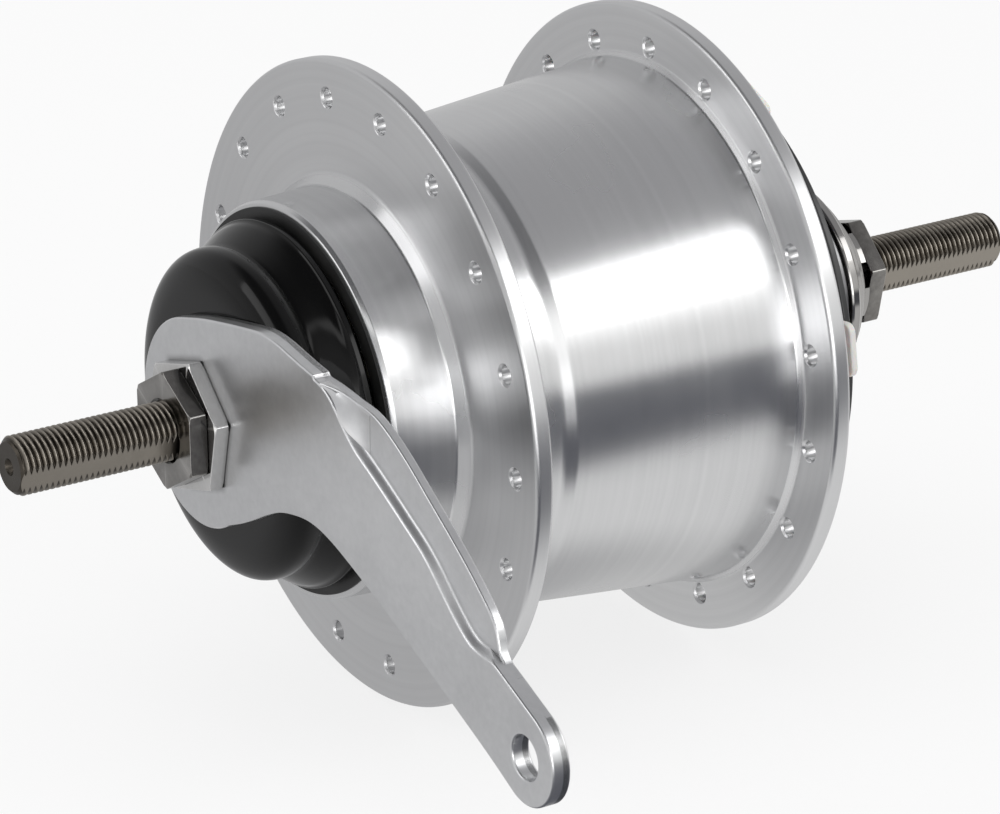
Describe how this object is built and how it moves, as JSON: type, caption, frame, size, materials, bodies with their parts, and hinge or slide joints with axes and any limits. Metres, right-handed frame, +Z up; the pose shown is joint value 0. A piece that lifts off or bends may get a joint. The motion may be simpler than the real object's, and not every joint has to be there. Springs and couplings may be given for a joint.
{
  "type": "internal gear hub",
  "caption": "Rear hub with planetary gearing and a back-pedal brake: flanged shell, brake arm, threaded axle, driver with sprocket seat.",
  "frame": {"origin": "centre of the left flange's spoke hole circle, at the middle of the flange's thickness, on the axle's axis", "axes": "+Y along the axle towards the drive side, +Z up as in the picture, +X towards the side that the brake arm points to"},
  "size_m": [0.1547, 0.187, 0.1048],
  "materials": {
    "axle_steel": "dark oxide, satin",
    "dark_nut": "dark zinc, satin",
    "zinc": "light zinc, satin",
    "nut_zinc": "bright zinc with polished chamfers",
    "black_gloss": "gloss black",
    "black_matte": "matt black",
    "dark_steel": "dark grey, half gloss",
    "rubber_black": "matt",
    "shell_alloy": "turned and clear coated",
    "race_steel": "ground",
    "gear_steel": "machined and oiled",
    "ball_steel": "polished",
    "cage_steel": "pressed, satin",
    "cone_chrome": "bright nickel",
    "white_nylon": "milky white",
    "bronze": "satin",
    "lining": "rough sintered",
    "driver_steel": "dark satin"
  },
  "bodies": {
    "axle_set": {"axle": "axle_steel", "left_locknut": "dark_nut", "arm_nut": "nut_zinc", "brake_arm": "zinc", "left_cap": "black_gloss", "brake_cone": "race_steel", "brake_anchor": "gear_steel", "fixed_sun": "gear_steel", "sun_washer": "bronze", "right_cone": "race_steel", "cone_cap": "cone_chrome", "right_locknut": "nut_zinc"},
    "shell": {"hub_shell": "shell_alloy", "left_seal": "rubber_black", "left_cup": "race_steel", "brake_drum": "gear_steel", "right_ball_ring": "race_steel", "drive_cover": "black_matte", "lobe_ring": "white_nylon"},
    "ring": {"ring_gear": "gear_steel", "pawl_plate": "cage_steel", "pawl_pins": "ball_steel"},
    "pawl_1": {"pawl_a": "race_steel"},
    "pawl_2": {"pawl_b": "race_steel"},
    "pawl_3": {"pawl_c": "race_steel"},
    "carrier": {"planet_carrier": "gear_steel", "planet_pins": "ball_steel"},
    "planet_1": {"planet_a": "race_steel"},
    "planet_2": {"planet_b": "race_steel"},
    "planet_3": {"planet_c": "race_steel"},
    "second_sun": {"free_sun": "race_steel"},
    "driver_set": {"driver": "driver_steel", "dust_disc": "dark_steel"},
    "clutch": {"shift_clutch": "gear_steel"},
    "selector": {"shift_sleeve": "race_steel", "shift_ring": "cone_chrome"},
    "left_bearing": {"left_balls": "ball_steel", "left_cage": "cage_steel"},
    "middle_bearing": {"middle_balls": "ball_steel", "middle_cage": "cage_steel"},
    "right_bearing": {"right_balls": "ball_steel", "right_cage": "cage_steel"},
    "cam": {"brake_cam": "gear_steel"},
    "brake_shoe_1": {"shoe_a": "lining"},
    "brake_shoe_2": {"shoe_b": "lining"},
    "brake_shoe_3": {"shoe_c": "lining"}
  },
  "joints": [
    {"name": "shell_spin", "type": "hinge", "parent": "axle_set", "child": "shell", "pos_m": [0, 0, 0], "axis": [0, 1, 0], "continuous": true},
    {"name": "ring_spin", "type": "hinge", "parent": "axle_set", "child": "ring", "pos_m": [0, 0, 0], "axis": [0, 1, 0], "continuous": true},
    {"name": "carrier_spin", "type": "hinge", "parent": "axle_set", "child": "carrier", "pos_m": [0, 0, 0], "axis": [0, 1, 0], "continuous": true},
    {"name": "second_sun_spin", "type": "hinge", "parent": "axle_set", "child": "second_sun", "pos_m": [0, 0, 0], "axis": [0, 1, 0], "continuous": true},
    {"name": "driver_spin", "type": "hinge", "parent": "axle_set", "child": "driver_set", "pos_m": [0, 0, 0], "axis": [0, 1, 0], "continuous": true},
    {"name": "left_bearing_spin", "type": "hinge", "parent": "axle_set", "child": "left_bearing", "pos_m": [0, 0, 0], "axis": [0, 1, 0], "continuous": true},
    {"name": "middle_bearing_spin", "type": "hinge", "parent": "axle_set", "child": "middle_bearing", "pos_m": [0, 0, 0], "axis": [0, 1, 0], "continuous": true},
    {"name": "right_bearing_spin", "type": "hinge", "parent": "axle_set", "child": "right_bearing", "pos_m": [0, 0, 0], "axis": [0, 1, 0], "continuous": true},
    {"name": "planet_1_spin", "type": "hinge", "parent": "carrier", "child": "planet_1", "pos_m": [0, 0, 0.01875], "axis": [0, 1, 0], "continuous": true},
    {"name": "planet_2_spin", "type": "hinge", "parent": "carrier", "child": "planet_2", "pos_m": [-0.01624, 0, -0.00937], "axis": [0, 1, 0], "continuous": true},
    {"name": "planet_3_spin", "type": "hinge", "parent": "carrier", "child": "planet_3", "pos_m": [0.01624, 0, -0.00937], "axis": [0, 1, 0], "continuous": true},
    {"name": "pawl_1_hinge", "type": "hinge", "parent": "ring", "child": "pawl_1", "pos_m": [0.0302, 0, 0], "axis": [0, -1, 0], "range_deg": [0, 10], "stiffness_Nm_per_rad": 0.002, "springref_deg": -5.73},
    {"name": "pawl_2_hinge", "type": "hinge", "parent": "ring", "child": "pawl_2", "pos_m": [-0.0151, 0, 0.02615], "axis": [0, -1, 0], "range_deg": [0, 10], "stiffness_Nm_per_rad": 0.002, "springref_deg": -5.73},
    {"name": "pawl_3_hinge", "type": "hinge", "parent": "ring", "child": "pawl_3", "pos_m": [-0.0151, 0, -0.02615], "axis": [0, -1, 0], "range_deg": [0, 10], "stiffness_Nm_per_rad": 0.002, "springref_deg": -5.73},
    {"name": "clutch_slide", "type": "slide", "parent": "driver_set", "child": "clutch", "axis": [0, 1, 0], "range_m": [0, 0.003], "stiffness_N_per_m": 200, "springref_m": -0.001},
    {"name": "selector_turn", "type": "hinge", "parent": "axle_set", "child": "selector", "pos_m": [0, 0, 0], "axis": [0, 1, 0], "range_deg": [0, 75], "stiffness_Nm_per_rad": 0.02, "springref_deg": -5.73},
    {"name": "brake_cam_turn", "type": "hinge", "parent": "axle_set", "child": "cam", "pos_m": [0, 0, 0], "axis": [0, 1, 0], "range_deg": [0, 20], "stiffness_Nm_per_rad": 0.02, "springref_deg": -5.73},
    {"name": "brake_shoe_1_slide", "type": "slide", "parent": "axle_set", "child": "brake_shoe_1", "axis": [0, 0, 1], "range_m": [0, 0.00025]},
    {"name": "brake_shoe_2_slide", "type": "slide", "parent": "axle_set", "child": "brake_shoe_2", "axis": [-0.866, 0, -0.5], "range_m": [0, 0.00025]},
    {"name": "brake_shoe_3_slide", "type": "slide", "parent": "axle_set", "child": "brake_shoe_3", "axis": [0.866, 0, -0.5], "range_m": [0, 0.00025]}
  ],
  "couplings": [
    {"joint": "ring_spin", "follows": "shell_spin", "ratio": 1},
    {"joint": "carrier_spin", "follows": "shell_spin", "ratio": 0.75},
    {"joint": "driver_spin", "follows": "shell_spin", "ratio": 0.75},
    {"joint": "second_sun_spin", "follows": "shell_spin", "ratio": 0.25},
    {"joint": "left_bearing_spin", "follows": "shell_spin", "ratio": 0.54183},
    {"joint": "middle_bearing_spin", "follows": "shell_spin", "ratio": 0.88279},
    {"joint": "right_bearing_spin", "follows": "shell_spin", "ratio": 0.42355},
    {"joint": "planet_1_spin", "follows": "shell_spin", "ratio": 0.75},
    {"joint": "planet_2_spin", "follows": "shell_spin", "ratio": 0.75},
    {"joint": "planet_3_spin", "follows": "shell_spin", "ratio": 0.75},
    {"joint": "brake_shoe_1_slide", "follows": "brake_cam_turn", "m_per_rad": 0.0007162},
    {"joint": "brake_shoe_2_slide", "follows": "brake_cam_turn", "m_per_rad": 0.0007162},
    {"joint": "brake_shoe_3_slide", "follows": "brake_cam_turn", "m_per_rad": 0.0007162}
  ]
}
